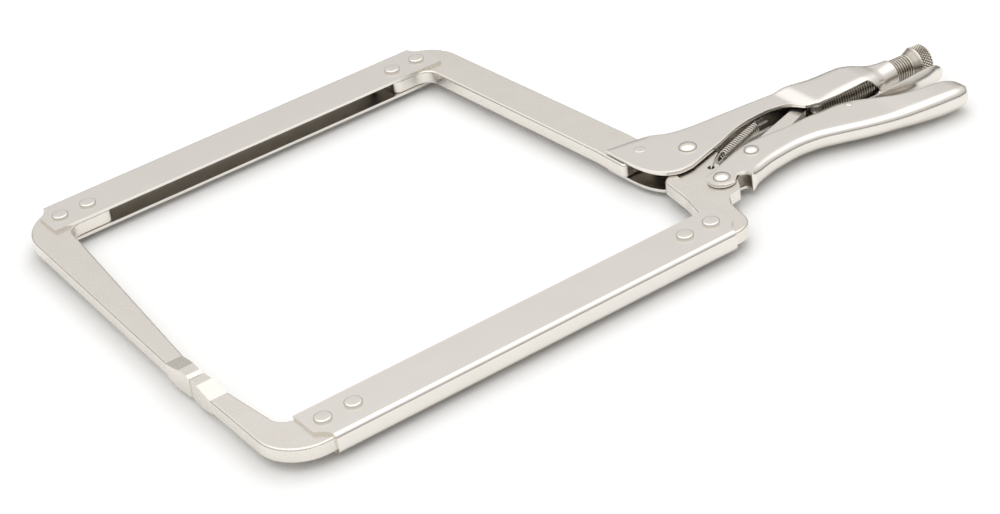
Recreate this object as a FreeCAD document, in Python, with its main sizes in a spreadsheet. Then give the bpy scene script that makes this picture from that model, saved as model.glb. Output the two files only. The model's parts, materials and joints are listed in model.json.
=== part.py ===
import FreeCAD, Part
import math
import os
import Sketcher

# Locking C clamp with deep channel arms, lying flat with its jaws closed and its lever locked.
# X runs from the jaws to the handle, Y from the movable arm to the fixed arm, and Z is the
# direction of the pivots. The origin is the centre of the fixed jaw's clamping face.

SIZES = {
    # stock
    "bar_thickness": 8.0,
    "channel_sheet": 1.6,
    "handle_sheet": 1.8,
    "lever_sheet": 1.7,
    # reach of the two arms from the clamping face, and of the channels from the jaws
    "fixed_reach": 189.5,
    "movable_reach": 77.1,
    "jaw_gap": 0.3,
    "fixed_setback": 14.0,
    "movable_setback": 16.3,
    # channels
    "channel_length": 250.0,
    "channel_width": 28.0,
    "channel_bend": 2.7,
    "notch_radius": 10.6,
    "notch_offset": 4.3,
    # channel rivets
    "rivet_inset": 9.2,
    "rivet_pitch": 16.8,
    "rivet_row": 2.1,
    "rivet_shank": 2.9,
    "rivet_head": 4.55,
    "rivet_height": 1.5,
    "rivet_round": 0.9,
    "rivet_fit": 0.05,
    # jaw bars and their forged tips
    "bar_overlap": 35.0,
    "bar_recess": 0.4,
    "bar_end_round": 5.0,
    "bar_edge": 1.2,
    "elbow_round": 24.0,
    "fixed_elbow_round": 30.0,
    "elbow_inner": 9.0,
    "tip_half": 3.6,
    "neck_half": 4.7,
    "neck_start": 14.0,
    "tip_half_height": 6.2,
    "tip_face_half": 4.8,
    "tip_rise": 2.0,
    "tip_plateau": 9.0,
    "tip_slope": 13.0,
    "fixed_jaw_outer": 2.0,
    "fixed_jaw_inner": 21.5,
    "movable_jaw_outer": 5.4,
    "movable_jaw_inner": 9.6,
    # rear bar of the fixed arm; from here on x positions start at the fixed channel's rear end
    "rear_overlap": 32.5,
    "rear_corner_outer": 10.5,
    "rear_corner_inner": 9.6,
    "rear_foot_outer": 22.2,
    "rear_foot_inner": -1.1,
    "rear_foot_top": 28.0,
    "rear_foot_end": 4.0,
    "rear_foot_round": 3.0,
    "boss_clearance": 0.8,
    # pivots
    "jaw_pivot_x": 32.1,
    "jaw_pivot_y": -9.0,
    "lever_pivot_x": 25.3,
    "lever_pivot_y": -45.0,
    "link_pivot_x": 53.5,
    "link_pivot_y": -35.2,
    "pivot_shank": 3.0,
    "pivot_fit": 0.05,
    "jaw_pivot_head": 5.0,
    "lever_pivot_head": 4.6,
    "link_pivot_head": 4.1,
    "pivot_height": 2.2,
    "pivot_round": 2.0,
    # handle
    "handle_clearance": 0.3,
    "handle_front": 0.7,
    "lock_rivet_x": 13.6,
    "lock_rivet_y": 8.2,
    "lock_lip": 0.3,
    "lock_height": 0.3,
    "spine_fillet": 3.0,
    "tube_wall": 2.1,
    "nose_wall": 1.0,
    "nose_end": 163.5,
    "nut_length": 17.0,
    "spring_lug_width": 7.0,
    "spring_lug_sheet": 1.6,
    "spring_lug_margin": 3.5,
    "spring_lug_root": 13.6,
    # adjusting screw
    "screw_start_x": 108.2,
    "screw_start_y": -16.65,
    "screw_turn": 4.6,
    "screw_length": 67.4,
    "screw_radius": 6.9,
    "screw_fit": 0.08,
    "screw_tip": 3.6,
    "screw_tip_length": 3.6,
    "head_rise": 2.5,
    "shoulder_rise": 0.7,
    "head_length": 7.4,
    "head_taper": 4.6,
    "head_chamfer": 0.8,
    # jaw plate
    "pivot_boss": 12.0,
    "recess_step": 0.8,
    "recess_radius": 18.6,
    "jaw_plate_overlap": 28.0,
    # lever, toggle link and release lever
    "lever_clearance": 0.3,
    "lever_bend": 4.0,
    "lever_ear": 7.8,
    "link_clearance": 0.5,
    "link_end_x": 101.0,
    "link_end_y": -18.2,
    "link_eye": 5.6,
    "link_toe": 3.6,
    "release_clearance": 0.7,
    "release_pin_x": 120.0,
    "release_pin_y": -36.9,
    "release_pin_radius": 1.6,
    "release_pin_head": 2.0,
    "release_pin_height": 0.6,
    "release_eye": 4.2,
    "release_pad": 13.0,
    "release_reach": 64.0,
    "release_sheet": 1.8,
    # return spring
    "spring_hole_x": 30.2,
    "spring_hole_y": -30.3,
    "spring_hole": 1.9,
    "spring_tab_x": 83.0,
    "spring_tab_y": -6.9,
    "spring_tab_hole": 1.3,
    "spring_near_x": 45.5,
    "spring_near_y": -21.0,
    "spring_far_x": 77.0,
    "spring_far_y": -10.2,
    "spring_coil": 3.2,
    "spring_wire": 0.55,
}

doc = FreeCAD.newDocument("c_clamp")
sheet = doc.addObject("Spreadsheet::Sheet", "Dims")
for row, (alias, number) in enumerate(SIZES.items(), start=1):
    sheet.set("A%d" % row, alias)
    sheet.set("B%d" % row, str(number))
    sheet.setAlias("B%d" % row, alias)
doc.recompute()

finished = []


def size(alias):
    return float(sheet.get(alias))


def bound(expression):
    """Turn plain aliases into references to the sheet."""
    words = expression.replace("(", " ( ").replace(")", " ) ").split()
    return " ".join("Dims." + word if word in SIZES else word for word in words)


def origin_plane(body, role):
    for feature in body.Origin.OriginFeatures:
        if feature.Role == role:
            return feature
    raise ValueError("no plane " + role)


def new_body(label):
    body = doc.addObject("PartDesign::Body", label)
    body.Label = label
    finished.append(body)
    return body


def new_sketch(body, name, role):
    sketch = body.newObject("Sketcher::SketchObject", name)
    sketch.AttachmentSupport = [(origin_plane(body, role), "")]
    sketch.MapMode = "FlatFace"
    return sketch


def place_point(sketch, index, position, point):
    """Tie one sketch point to its distances from the origin."""
    for kind, expression in zip(("DistanceX", "DistanceY"), point):
        constraint = Sketcher.Constraint(kind, -1, 1, index, position, 1.0)
        number = sketch.addConstraint(constraint)
        sketch.setExpression("Constraints[%d]" % number, bound(expression))


def outline_sketch(body, name, role, loops):
    """One closed polygon for each list of corner points."""
    sketch = new_sketch(body, name, role)
    for points in loops:
        first = sketch.GeometryCount
        count = len(points)
        ring = [
            FreeCAD.Vector(math.cos(2 * math.pi * i / count), math.sin(2 * math.pi * i / count), 0)
            for i in range(count)
        ]
        for i in range(count):
            sketch.addGeometry(Part.LineSegment(ring[i], ring[(i + 1) % count]))
        for i in range(count):
            after = first + (i + 1) % count
            sketch.addConstraint(Sketcher.Constraint("Coincident", first + i, 2, after, 1))
        for i, point in enumerate(points):
            place_point(sketch, first + i, 1, point)
    doc.recompute()
    return sketch


def circle_sketch(body, name, role, circles):
    """Each circle is its centre and its radius, as expressions."""
    sketch = new_sketch(body, name, role)
    up = FreeCAD.Vector(0, 0, 1)
    for across, along, radius in circles:
        index = sketch.addGeometry(Part.Circle(FreeCAD.Vector(1, 1, 0), up, 1))
        place_point(sketch, index, 3, (across, along))
        number = sketch.addConstraint(Sketcher.Constraint("Radius", index, 1.0))
        sketch.setExpression("Constraints[%d]" % number, bound(radius))
    doc.recompute()
    return sketch


def pad(body, sketch, length, both_ways=True):
    feature = body.newObject("PartDesign::Pad", sketch.Name + "_pad")
    feature.Profile = sketch
    feature.SideType = "Symmetric" if both_ways else "One side"
    feature.setExpression("Length", bound(length))
    sketch.Visibility = False
    doc.recompute()
    return feature


def cut_through(body, sketch, length):
    """Cut a sketch out of the body on both sides of its plane."""
    before = body.Shape.Volume
    feature = body.newObject("PartDesign::Pocket", sketch.Name + "_cut")
    feature.Profile = sketch
    feature.SideType = "Symmetric"
    feature.setExpression("Length", bound(length))
    doc.recompute()
    if not body.Shape.Volume < before:
        raise ValueError(feature.Name + " removed nothing")
    return feature


def edges_where(shape, wanted):
    return ["Edge%d" % i for i, edge in enumerate(shape.Edges, start=1) if wanted(edge)]


def round_edges(body, wanted, radius, kind="Fillet"):
    """Fillet or chamfer every edge of the body that the test accepts."""
    base = body.Tip
    names = edges_where(base.Shape, wanted)
    if not names:
        raise ValueError("no edge to round on " + body.Label)
    feature = body.newObject("PartDesign::" + kind, "%s_%s" % (body.Label, kind.lower()))
    feature.Base = (base, names)
    feature.setExpression("Radius" if kind == "Fillet" else "Size", bound(radius))
    doc.recompute()
    return feature


def corner_edge(sketch, index):
    """Accept the upright edge that rises from one corner of a polygon sketch."""
    corner = sketch.Placement.multVec(sketch.getPoint(index, 1))

    def wanted(edge):
        ends = [vertex.Point for vertex in edge.Vertexes]
        if len(ends) != 2:
            return False
        upright = abs(ends[0].x - ends[1].x) < 1e-6 and abs(ends[0].y - ends[1].y) < 1e-6
        return upright and abs(ends[0].x - corner.x) < 1e-4 and abs(ends[0].y - corner.y) < 1e-4

    return wanted


def make_channel(label, setback, centre, web_side):
    """U section with its web on the outer side and both web ends cut back in an arc."""
    body = new_body(label)
    outer = "channel_width / 2"
    inner = "channel_width / 2 - channel_sheet"
    top = "bar_thickness / 2 + channel_sheet"
    gap = "bar_thickness / 2"
    section = outline_sketch(body, label + "_section", "YZ_Plane", [[
        ("-1 * ( %s )" % outer, "-1 * ( %s )" % top),
        (outer, "-1 * ( %s )" % top),
        (outer, top),
        ("-1 * ( %s )" % outer, top),
        ("-1 * ( %s )" % outer, gap),
        (inner, gap),
        (inner, "-1 * ( %s )" % gap),
        ("-1 * ( %s )" % outer, "-1 * ( %s )" % gap),
    ]])
    pad(body, section, "channel_length", both_ways=False)
    half_width = size("channel_width") / 2
    half_height = size("bar_thickness") / 2 + size("channel_sheet")

    def long_edge(y, z):
        def wanted(edge):
            centre_point = edge.CenterOfMass
            return abs(centre_point.y - y) < 1e-4 and abs(abs(centre_point.z) - z) < 1e-4
        return wanted

    web_inner = half_width - size("channel_sheet")
    round_edges(body, long_edge(half_width, half_height), "channel_bend")
    round_edges(body, long_edge(web_inner, size("bar_thickness") / 2), "channel_bend - channel_sheet")
    notches = circle_sketch(body, label + "_notches", "XY_Plane", [
        ("-1 * notch_offset", outer, "notch_radius"),
        ("channel_length + notch_offset", outer, "notch_radius"),
    ])
    cut_through(body, notches, "4 * bar_thickness")
    row = "-1 * rivet_row"
    hole = "rivet_shank + rivet_fit"
    holes = circle_sketch(body, label + "_holes", "XY_Plane", [
        ("rivet_inset", row, hole),
        ("rivet_inset + rivet_pitch", row, hole),
        ("channel_length - rivet_inset", row, hole),
        ("channel_length - rivet_inset - rivet_pitch", row, hole),
    ])
    cut_through(body, holes, "4 * bar_thickness")
    body.setExpression("Placement.Base.x", bound(setback))
    body.setExpression("Placement.Base.y", bound(centre))
    if web_side < 0:
        body.Placement.Rotation = FreeCAD.Rotation(FreeCAD.Vector(1, 0, 0), 180)
    return body


def make_bar(label, outline, rounds, holes, tip=None):
    """Flat bar from its outline, with rounded corners, softened edges and rivet holes."""
    body = new_body(label)
    sketch = outline_sketch(body, label + "_outline", "XY_Plane", [outline])
    pad(body, sketch, "bar_thickness")
    for radius, corner in rounds:
        round_edges(body, corner_edge(sketch, corner), radius)
    half = size("bar_thickness") / 2

    def rim(edge):
        return all(abs(abs(vertex.Z) - half) < 1e-4 for vertex in edge.Vertexes)

    round_edges(body, rim, "bar_edge")
    if tip:
        tip_outline, tip_loops = tip
        swell = outline_sketch(body, label + "_tip", "XY_Plane", [tip_outline])
        pad(body, swell, "2 * tip_half_height")
        relief = outline_sketch(body, label + "_relief", "YZ_Plane", tip_loops)
        cut_through(body, relief, "2 * channel_length")
    bores = circle_sketch(body, label + "_bores", "XY_Plane", holes)
    cut_through(body, bores, "4 * bar_thickness")
    return body


def tip_relief(side):
    """Side profiles that thin the bar behind its forged tip, above and below."""
    loops = []
    for turn in ("1", "-1"):
        high = turn + " * ( tip_half_height + 1 )"
        loops.append([(side + x, turn + z) for x, z in (
            (" * ( tip_plateau )", " * ( tip_half_height )"),
            (" * ( tip_plateau + tip_slope )", " * ( bar_thickness / 2 )"),
            (" * ( 2 * fixed_reach )", " * ( bar_thickness / 2 )"),
        )] + [(side + " * ( 2 * fixed_reach )", high), (side + " * ( tip_plateau )", high)])
        loops.append([(side + x, turn + z) for x, z in (
            (" * ( jaw_gap - 1 )", " * ( tip_face_half )"),
            (" * ( jaw_gap )", " * ( tip_face_half )"),
            (" * ( jaw_gap + tip_rise )", " * ( tip_half_height )"),
        )] + [(side + " * ( jaw_gap + tip_rise )", high), (side + " * ( jaw_gap - 1 )", high)])
    return loops


def tip_swell(side, gap):
    """Outline of the forged tip, which is thicker than the bar behind it."""
    start = side + " * ( %s )" % gap
    neck = side + " * ( %s + neck_start )" % gap
    end = side + " * ( %s + tip_plateau + tip_slope )" % gap
    return [
        ("-1 * tip_half", start),
        ("-1 * neck_half", neck),
        ("-1 * neck_half", end),
        ("neck_half", end),
        ("neck_half", neck),
        ("tip_half", start),
    ]


def channel_rivets(setback, row, ends):
    """Hole centres of the two rivets at one end of a channel."""
    hole = "rivet_shank + rivet_fit"
    near = setback + " + rivet_inset"
    if ends == "rear":
        near = setback + " + channel_length - rivet_inset - rivet_pitch"
    return [(near, row, hole), (near + " + rivet_pitch", row, hole)]


REAR = "fixed_setback + channel_length"
FIXED_ROW = "fixed_reach - rivet_row"
MOVABLE_CENTRE = "-1 * ( movable_reach + jaw_gap )"
MOVABLE_ROW = MOVABLE_CENTRE + " + rivet_row"


def make_fixed_jaw():
    web = "fixed_reach + channel_width / 2 - channel_sheet"
    open_edge = "fixed_reach - channel_width / 2 + bar_recess"
    outline = [
        ("-1 * tip_half", "0"),
        ("-1 * neck_half", "neck_start"),
        ("fixed_jaw_outer", web),
        ("fixed_setback + bar_overlap", web),
        ("fixed_setback + bar_overlap", open_edge),
        ("fixed_jaw_inner", open_edge),
        ("neck_half", "neck_start"),
        ("tip_half", "0"),
    ]
    rounds = [("fixed_elbow_round", 2), ("bar_end_round", 3), ("bar_end_round", 4), ("elbow_inner", 5)]
    holes = channel_rivets("fixed_setback", FIXED_ROW, "front")
    loops = [[(y.replace("jaw_gap", "0"), z) for y, z in loop] for loop in tip_relief("1")]
    return make_bar("fixed_jaw", outline, rounds, holes, (tip_swell("1", "0"), loops))


def make_movable_jaw():
    web = MOVABLE_CENTRE + " - channel_width / 2 + channel_sheet"
    open_edge = MOVABLE_CENTRE + " + channel_width / 2 - bar_recess"
    outline = [
        ("-1 * tip_half", "-1 * jaw_gap"),
        ("-1 * neck_half", "-1 * ( jaw_gap + neck_start )"),
        ("-1 * movable_jaw_outer", web),
        ("movable_setback + bar_overlap", web),
        ("movable_setback + bar_overlap", open_edge),
        ("movable_jaw_inner", open_edge),
        ("neck_half", "-1 * ( jaw_gap + neck_start )"),
        ("tip_half", "-1 * jaw_gap"),
    ]
    rounds = [("elbow_round", 2), ("bar_end_round", 3), ("bar_end_round", 4), ("elbow_inner", 5)]
    holes = channel_rivets("movable_setback", MOVABLE_ROW, "front")
    tip = (tip_swell("-1", "jaw_gap"), tip_relief("-1"))
    return make_bar("movable_jaw", outline, rounds, holes, tip)


def make_rear_bar():
    """Elbow bar whose foot sits between the handle's cheeks and is hollowed round the jaw pivot."""
    web = "fixed_reach + channel_width / 2 - channel_sheet"
    open_edge = "fixed_reach - channel_width / 2 + bar_recess"
    outline = [
        (REAR + " + rear_foot_inner", "rear_foot_end"),
        (REAR + " + rear_foot_outer", "rear_foot_end"),
        (REAR + " + rear_foot_outer", "rear_foot_top"),
        (REAR + " + rear_corner_outer", web),
        (REAR + " - rear_overlap", web),
        (REAR + " - rear_overlap", open_edge),
        (REAR + " - rear_corner_inner", open_edge),
        (REAR + " + rear_foot_inner", "rear_foot_top"),
    ]
    rounds = [
        ("rear_foot_round", 0),
        ("elbow_round", 3),
        ("bar_end_round", 4),
        ("bar_end_round", 5),
        ("elbow_inner", 6),
    ]
    holes = channel_rivets("fixed_setback", FIXED_ROW, "rear")
    holes.append((REAR + " + lock_rivet_x", "lock_rivet_y", "rivet_shank + rivet_fit"))
    holes.append((REAR + " + jaw_pivot_x", "jaw_pivot_y", "pivot_boss + boss_clearance"))
    return make_bar("fixed_rear_bar", outline, rounds, holes)


def make_rivet(label, half_grip, shank, head, height, softness):
    """Shank with a rounded head at each end, turned about its own axis."""
    body = doc.addObject("PartDesign::Body", label)
    profile = outline_sketch(body, label + "_profile", "XZ_Plane", [[
        ("0", "-1 * ( %s + %s )" % (half_grip, height)),
        (head, "-1 * ( %s + %s )" % (half_grip, height)),
        (head, "-1 * ( %s )" % half_grip),
        (shank, "-1 * ( %s )" % half_grip),
        (shank, half_grip),
        (head, half_grip),
        (head, "%s + %s" % (half_grip, height)),
        ("0", "%s + %s" % (half_grip, height)),
    ]])
    turned = body.newObject("PartDesign::Revolution", label + "_turned")
    turned.Profile = profile
    turned.ReferenceAxis = (profile, ["V_Axis"])
    turned.Angle = 360
    profile.Visibility = False
    doc.recompute()
    top = max(vertex.Z for vertex in body.Shape.Vertexes)
    radius = max(abs(vertex.X) for vertex in body.Shape.Vertexes)

    def head_rim(edge):
        is_circle = isinstance(edge.Curve, Part.Circle)
        return is_circle and abs(abs(edge.Curve.Center.z) - top) < 1e-4 and edge.Curve.Radius > radius - 1e-4

    round_edges(body, head_rim, softness)
    return body


def rivet_group(label, template, places):
    """One solid for each place, all copies of one rivet."""
    copies = []
    for x, y in places:
        copy = template.Shape.copy()
        copy.translate(FreeCAD.Vector(x, y, 0))
        copies.append(copy)
    feature = doc.addObject("Part::Feature", label)
    feature.Label = label
    feature.Shape = copies[0] if len(copies) == 1 else Part.makeCompound(copies)
    finished.append(feature)
    return feature


def vector(x, y, z=0.0):
    return FreeCAD.Vector(x, y, z)


def rear_end():
    """Where the fixed channel ends; everything behind it is placed from here."""
    return size("fixed_setback") + size("channel_length")


def point_of(name):
    return vector(rear_end() + size(name + "_x"), size(name + "_y"))


def handle_gap():
    return size("bar_thickness") + 2 * size("handle_clearance")


def recess_thickness():
    return size("bar_thickness") - 2 * size("recess_step")


def lever_gap():
    return recess_thickness() + 2 * size("lever_clearance")


def rounded_wire(corners, level=0.0):
    """Closed wire in the XY plane; each corner is x, y and the radius that rounds it."""
    edges = []
    count = len(corners)
    starts = []
    ends = []
    for i, (x, y, radius) in enumerate(corners):
        here = vector(x, y, level)
        before = vector(*corners[i - 1][:2], level) - here
        after = vector(*corners[(i + 1) % count][:2], level) - here
        half_turn = before.getAngle(after) / 2
        reach = radius / math.tan(half_turn) if radius else 0.0
        starts.append(here + before.normalize() * reach)
        ends.append(here + after.normalize() * reach)
        if radius:
            middle = (before + after).normalize()
            apex = here + middle * (radius / math.sin(half_turn) - radius)
            edges.append(Part.Arc(starts[i], apex, ends[i]).toShape())
        else:
            edges.append(None)
    path = []
    for i in range(count):
        if edges[i]:
            path.append(edges[i])
        following = starts[(i + 1) % count]
        if ends[i].distanceToPoint(following) > 1e-6:
            path.append(Part.LineSegment(ends[i], following).toShape())
    return Part.Wire(Part.__sortEdges__(path))


def slab(corners, low, high):
    """Flat solid between two heights, from a rounded outline."""
    return Part.Face(rounded_wire(corners, low)).extrude(vector(0, 0, high - low))


def plate(corners, thickness):
    return slab(corners, -thickness / 2, thickness / 2)


def drum(centre, radius, thickness):
    """Upright cylinder centred on the middle plane."""
    return Part.makeCylinder(radius, thickness, centre - vector(0, 0, thickness / 2))


def section_wire(x, low, high, half_width, low_radius, high_radius):
    """Rounded rectangle across X, from low to high in Y."""
    half_turn = math.sqrt(0.5)
    corners = [
        (low, -half_width, low_radius, 1, 1),
        (high, -half_width, high_radius, -1, 1),
        (high, half_width, high_radius, -1, -1),
        (low, half_width, low_radius, 1, -1),
    ]
    edges = []
    spots = []
    for i, (y, z, radius, turn_y, turn_z) in enumerate(corners):
        across = vector(x, y, z + turn_z * radius)
        along = vector(x, y + turn_y * radius, z)
        middle = vector(x, y + turn_y * radius * (1 - half_turn), z + turn_z * radius * (1 - half_turn))
        first, last = (across, along) if i % 2 == 0 else (along, across)
        spots.append((first, last))
        edges.append(Part.Arc(first, middle, last).toShape())
    for i in range(4):
        edges.append(Part.LineSegment(spots[i][1], spots[(i + 1) % 4][0]).toShape())
    return Part.Wire(Part.__sortEdges__(edges))


def loft(stations, inset):
    """Solid through the stations, each drawn in by the same inset."""
    wires = []
    for x, low, high, half_width, low_radius, high_radius in stations:
        wires.append(section_wire(
            x, low + inset, high - inset, half_width - inset,
            max(low_radius - inset, 0.4), max(high_radius - inset, 0.4),
        ))
    spans = [Part.makeLoft([first, second], True, True) for first, second in zip(wires, wires[1:])]
    return spans[0].multiFuse(spans[1:])


def add_feature(label, shape):
    feature = doc.addObject("Part::Feature", label)
    feature.Label = label
    feature.Shape = shape.removeSplitter()
    finished.append(feature)
    return feature


def screw_axis_at(x):
    """Height in Y of the adjusting screw's axis."""
    fall = math.tan(math.radians(size("screw_turn")))
    return size("screw_start_y") - fall * (x - rear_end() - size("screw_start_x"))


def make_fixed_handle():
    """Folded sheet: flat cheeks over the rear bar, a rounded spine, and a nose threaded for the screw."""
    sheet_metal = size("handle_sheet")
    half = handle_gap() / 2 + sheet_metal
    crown = size("spine_fillet")
    wide = size("screw_radius") + size("tube_wall")
    nose = size("screw_radius") + size("nose_wall")
    nose_end = rear_end() + size("nose_end")
    nose_axis = screw_axis_at(nose_end)
    pivot = point_of("jaw_pivot")
    front = rear_end() + size("handle_front")
    mouth = front + 98
    open_low = pivot.y - 40
    low = screw_axis_at(mouth + 27.3) - size("screw_radius") - 6.3
    # x, lowest y, highest y, half width, radius of the lower and of the upper corners
    stations = [
        (front + 25, open_low, pivot.y + 26.0, half, crown, crown),
        (front + 33, open_low, pivot.y + 21.6, half, crown, crown),
        (front + 47, open_low, pivot.y + 18.0, half, crown, crown),
        (front + 66, open_low, pivot.y + 16.0, half, crown, crown),
        (front + 82, open_low, pivot.y + 14.4, half, crown, crown),
        (mouth, open_low, pivot.y + 12.5, half, crown, crown),
    ]
    rear = [
        (mouth, low, pivot.y + 12.5, half, crown, crown),
        (mouth + 9, low, pivot.y + 10.8, wide - 0.1, 6.0, 6.0),
        (mouth + 24, low, pivot.y + 9.4, wide, wide - 0.7, wide - 0.7),
        (mouth + 39, low, pivot.y + 8.2, wide, wide - 0.7, wide - 0.7),
        (mouth + 50, low + 0.8, pivot.y + 3.6, wide - 0.4, wide - 1.0, wide - 1.0),
        (nose_end - 5, nose_axis - nose - 0.4, nose_axis + nose + 1.8, nose + 0.4, nose - 0.3, nose - 0.3),
        (nose_end, nose_axis - nose, nose_axis + nose, nose, nose - 0.05, nose - 0.05),
    ]
    skin = loft(stations, 0).fuse(loft(rear, 0))
    hollow = loft(stations, sheet_metal).fuse(loft(rear, sheet_metal))
    # x, y and the radius that rounds the corner
    outline = [
        (front, pivot.y + 30.2, 1.5),
        (front + 25, pivot.y + 25.6, 0),
        (front + 25, pivot.y + 40, 0),
        (nose_end + 5, pivot.y + 40, 0),
        (nose_end + 5, low - 9, 0),
        (mouth + 37, low - 9, 0),
        (mouth + 40.5, low - 1, 0),
        (mouth + 52, low + 3.6, 2.0),
        (mouth + 9, low + 3.6, 3.0),
        (mouth + 2.5, pivot.y - 12, 2.0),
        (mouth + 2.2, pivot.y - 4.4, 4.0),
        (mouth - 15, pivot.y - 0.6, 12.0),
        (mouth - 31, pivot.y - 1.6, 20.0),
        (front + 47, pivot.y - 8.4, 0),
        (front + 19, pivot.y - 16.8, 9.0),
        (front + 7, pivot.y - 14.0, 10.0),
        (front + 1.2, pivot.y + 4, 20.0),
    ]
    silhouette = plate(outline, 60)
    cheeks = slab(outline, half - sheet_metal, half).fuse(slab(outline, -half, sheet_metal - half))
    cheeks = cheeks.common(Part.makeBox(26, 80, 30, vector(front - 1, pivot.y - 40, -15)))
    shell = skin.common(silhouette).cut(hollow)
    tab = point_of("spring_tab")
    lug_width = size("spring_lug_width")
    lug_sheet = size("spring_lug_sheet")
    lug_low = tab.y - size("spring_lug_margin")
    lug_height = pivot.y + size("spring_lug_root") - lug_low
    lug_corner = vector(tab.x - lug_width / 2, lug_low, -lug_sheet / 2)
    lug = Part.makeBox(lug_width, lug_height, lug_sheet, lug_corner)
    lug = lug.cut(drum(tab, size("spring_tab_hole"), 10))
    axis = vector(1, -math.tan(math.radians(size("screw_turn"))), 0)
    start = point_of("screw_start")
    bore = Part.makeCylinder(size("screw_radius") + size("screw_fit"), 80, start, axis)
    nut_box = Part.makeBox(30, 60, 40, vector(nose_end - size("nut_length"), nose_axis - 30, -20))
    nut = skin.common(nut_box)
    nut = nut.common(silhouette)
    shape = shell.fuse(cheeks).fuse(lug).fuse(nut).cut(bore)
    grip = size("rivet_shank") + size("rivet_fit")
    for name, radius in (("jaw_pivot", size("pivot_shank") + size("pivot_fit")), ("lock_rivet", grip)):
        shape = shape.cut(drum(point_of(name), radius, 40))
    return add_feature("fixed_handle", shape)


def make_jaw_plate():
    """Forged plate from the jaw pivot down into the movable channel, thinned round the lever pivot."""
    pivot = point_of("jaw_pivot")
    lever = point_of("lever_pivot")
    boss = size("pivot_boss")
    centre = -(size("movable_reach") + size("jaw_gap"))
    web = centre - size("channel_width") / 2 + size("channel_sheet")
    open_edge = centre + size("channel_width") / 2 - size("bar_recess")
    end = size("movable_setback") + size("channel_length")
    outline = [
        (pivot.x - boss, pivot.y + boss, 0.95 * boss),
        (pivot.x + boss, pivot.y + boss, 0.95 * boss),
        (pivot.x + boss - 1, pivot.y - 12, 5.0),
        (lever.x + 9.5, lever.y + 19, 4.0),
        (lever.x + 9.0, lever.y - 1, 6.0),
        (lever.x + 1.6, lever.y - 12.8, 3.0),
        (lever.x - 6.5, lever.y - 14.0, 2.0),
        (end + 11.5, open_edge - 3, 4.0),
        (end + 7.0, web, 12.0),
        (end - size("jaw_plate_overlap"), web, 5.0),
        (end - size("jaw_plate_overlap"), open_edge, 5.0),
        (end - 6.5, open_edge, 2.0),
        (end - 1.2, lever.y, 30.0),
        (end + 1.6, pivot.y - 15, 5.0),
        (pivot.x - boss, pivot.y - 5, 4.0),
    ]
    shape = plate(outline, size("bar_thickness"))
    rim = [edge for edge in shape.Edges if abs(abs(edge.CenterOfMass.z) - size("bar_thickness") / 2) < 1e-4]
    shape = shape.makeFillet(size("bar_edge"), rim)
    window = [
        (lever.x - 18.0, lever.y + 3, 0),
        (lever.x - 13.5, lever.y + 19, 8.0),
        (pivot.x - boss - 2, pivot.y + boss + 2, 0),
        (pivot.x + boss + 2, pivot.y + boss + 2, 0),
        (pivot.x + boss + 2, lever.y - 17, 0),
        (lever.x, lever.y - 17, 0),
    ]
    half = recess_thickness() / 2
    for low, high in ((half, 20), (-20, -half)):
        cutter = slab(window, low, high)
        round_part = Part.makeCylinder(size("recess_radius"), high - low, vector(lever.x, lever.y, low))
        shape = shape.cut(cutter.fuse(round_part))
    running = size("pivot_shank") + size("pivot_fit")
    shape = shape.cut(drum(pivot, running, 40)).cut(drum(lever, running, 40))
    shape = shape.cut(drum(point_of("spring_hole"), size("spring_hole"), 40))
    row = centre + size("rivet_row")
    for step in (0, size("rivet_pitch")):
        spot = vector(end - size("rivet_inset") - step, row)
        shape = shape.cut(drum(spot, size("rivet_shank") + size("rivet_fit"), 40))
    return add_feature("movable_jaw_plate", shape)


def make_lever():
    """Folded sheet with its web on the outer side, two ears on the lever pivot and a flared tail."""
    sheet_metal = size("lever_sheet")
    half = lever_gap() / 2 + sheet_metal
    ear = point_of("lever_pivot")
    radius = size("lever_ear")
    bend = size("lever_bend")
    top = ear.y + 60
    # x and y from the lever pivot, and how far the sides flare there
    web = [
        (7, -11.0, 0.0), (19, -7.4, 0.0), (36, -3.4, 0.0), (51, -2.4, 0.0), (63, -4.0, 0.0),
        (75, -8.5, 0.0), (88, -14.0, 0.0), (102, -18.8, 0.0), (121, -23.8, 0.9), (136, -26.4, 1.3),
        (146, -26.8, 1.5), (156, -25.8, 1.5),
    ]
    stations = [(ear.x + x, ear.y + y, top, half + wider, bend, bend) for x, y, wider in web]
    skin = loft(stations, 0)
    hollow = loft(stations, sheet_metal)
    outline = [
        (ear.x, ear.y + radius, 0),
        (ear.x + 32.5, ear.y + 17.9, 14.0),
        (ear.x + 79, ear.y + 15.0, 40.0),
        (ear.x + 100, ear.y + 10.4, 18.0),
        (ear.x + 121, ear.y - 7.6, 16.0),
        (ear.x + 149.5, ear.y - 13.4, 4.0),
        (ear.x + 153.0, ear.y - 19.5, 4.0),
        (ear.x + 146.5, ear.y - 29.0, 6.0),
        (ear.x + 125, ear.y - 45, 0),
        (ear.x + 13, ear.y - 45, 0),
        (ear.x + 13, ear.y - 3.9, 2.2),
        (ear.x + 6.5, ear.y - 3.9, 0),
    ]
    silhouette = plate(outline, 60)
    shell = skin.common(silhouette).cut(hollow)
    cheeks = slab(outline, half - sheet_metal, half).fuse(slab(outline, -half, sheet_metal - half))
    cheeks = cheeks.common(Part.makeBox(14, 60, 30, vector(ear.x - 5, ear.y - 11, -15)))
    for side in (1, -1):
        base = half - sheet_metal if side > 0 else -half
        cheeks = cheeks.fuse(Part.makeCylinder(radius, sheet_metal, vector(ear.x, ear.y, base)))
    shape = shell.fuse(cheeks)
    shank = size("pivot_shank") + size("pivot_fit")
    for name, bore in (
        ("lever_pivot", shank), ("link_pivot", shank),
        ("release_pin", size("release_pin_radius") + size("rivet_fit")),
    ):
        shape = shape.cut(drum(point_of(name), bore, 40))
    return add_feature("lever", shape)


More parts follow.
